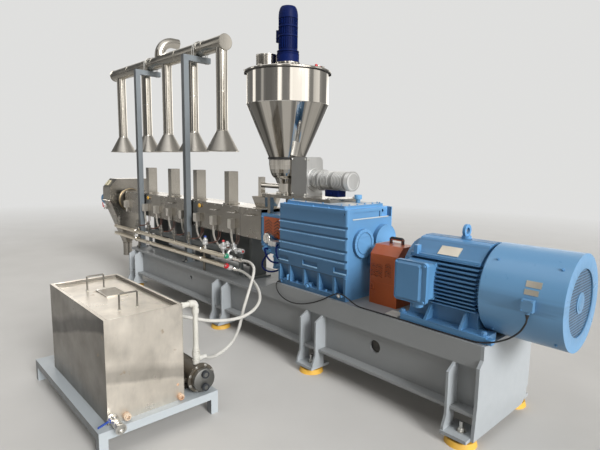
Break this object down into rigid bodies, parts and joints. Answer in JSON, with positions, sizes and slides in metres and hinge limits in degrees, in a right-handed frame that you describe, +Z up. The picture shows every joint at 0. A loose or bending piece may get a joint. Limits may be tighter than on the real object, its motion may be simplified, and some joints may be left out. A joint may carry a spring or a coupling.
{
  "type": "plastic extruder",
  "caption": "Twin screw plastic extruder on a steel base, with feed hopper, gearbox, main motor, pelletising hood, fume exhaust and a water tank joined by hoses.",
  "frame": {"origin": "on the floor, in the middle of the floor area that the machine and its water tank take", "axes": "+X from the pellet hood to the main motor, -Y to the operator's side with the water tank, +Z up"},
  "size_m": [6.36, 2.43, 3.137],
  "materials": {
    "base_paint": "satin",
    "leg_paint": "satin",
    "pad_yellow": "matte",
    "machine_blue": "satin",
    "light_blue": "satin",
    "cover_grey": "satin",
    "guard_orange": "satin",
    "dark_steel": "satin",
    "support_grey": "satin",
    "stainless": "brushed",
    "polished_steel": "polished",
    "duct_steel": "satin",
    "post_paint": "satin",
    "skid_paint": "satin",
    "tank_steel": "satin",
    "motor_navy": "satin",
    "white_pipe": "satin",
    "hose_white": "satin",
    "cable_black": "matte"
  },
  "bodies": {
    "root": {"base_frame": "base_paint", "base_legs": "leg_paint", "leveling_feet": "pad_yellow", "gearbox_housing": "machine_blue", "gearbox_cover": "cover_grey", "motor_body": "machine_blue", "fan_cowl": "light_blue", "terminal_box": "machine_blue", "coupling_guard": "guard_orange", "lantern_housing": "machine_blue", "lantern_guard": "guard_orange", "oil_pump": "machine_blue", "barrel": "dark_steel", "barrel_supports": "support_grey", "barrel_cover": "stainless", "vents_die_end": "duct_steel", "vents_feed_end": "duct_steel", "heater_plugs": "stainless", "manifold_pipes": "stainless", "water_valves": "stainless", "cutter_hood": "stainless", "cutter_motor": "machine_blue", "catch_hopper": "duct_steel", "feeder_stand": "stainless", "feeder_housing": "stainless", "feeder_drive": "stainless", "feed_hopper": "polished_steel", "hopper_lid": "stainless", "agitator_motor": "motor_navy", "exhaust_header": "duct_steel", "exhaust_elbow": "duct_steel", "exhaust_hood_1": "duct_steel", "exhaust_hood_2": "duct_steel", "exhaust_hood_3": "duct_steel", "exhaust_hood_4": "duct_steel", "exhaust_hood_5": "duct_steel", "exhaust_posts": "post_paint", "skid_frame": "skid_paint", "water_tank": "tank_steel", "tank_lid": "tank_steel", "heat_exchanger": "dark_steel", "tank_piping": "white_pipe", "lifting_eye": "machine_blue", "supply_hose": "hose_white", "return_hose": "hose_white", "fan_cable": "cable_black"}
  },
  "joints": []
}
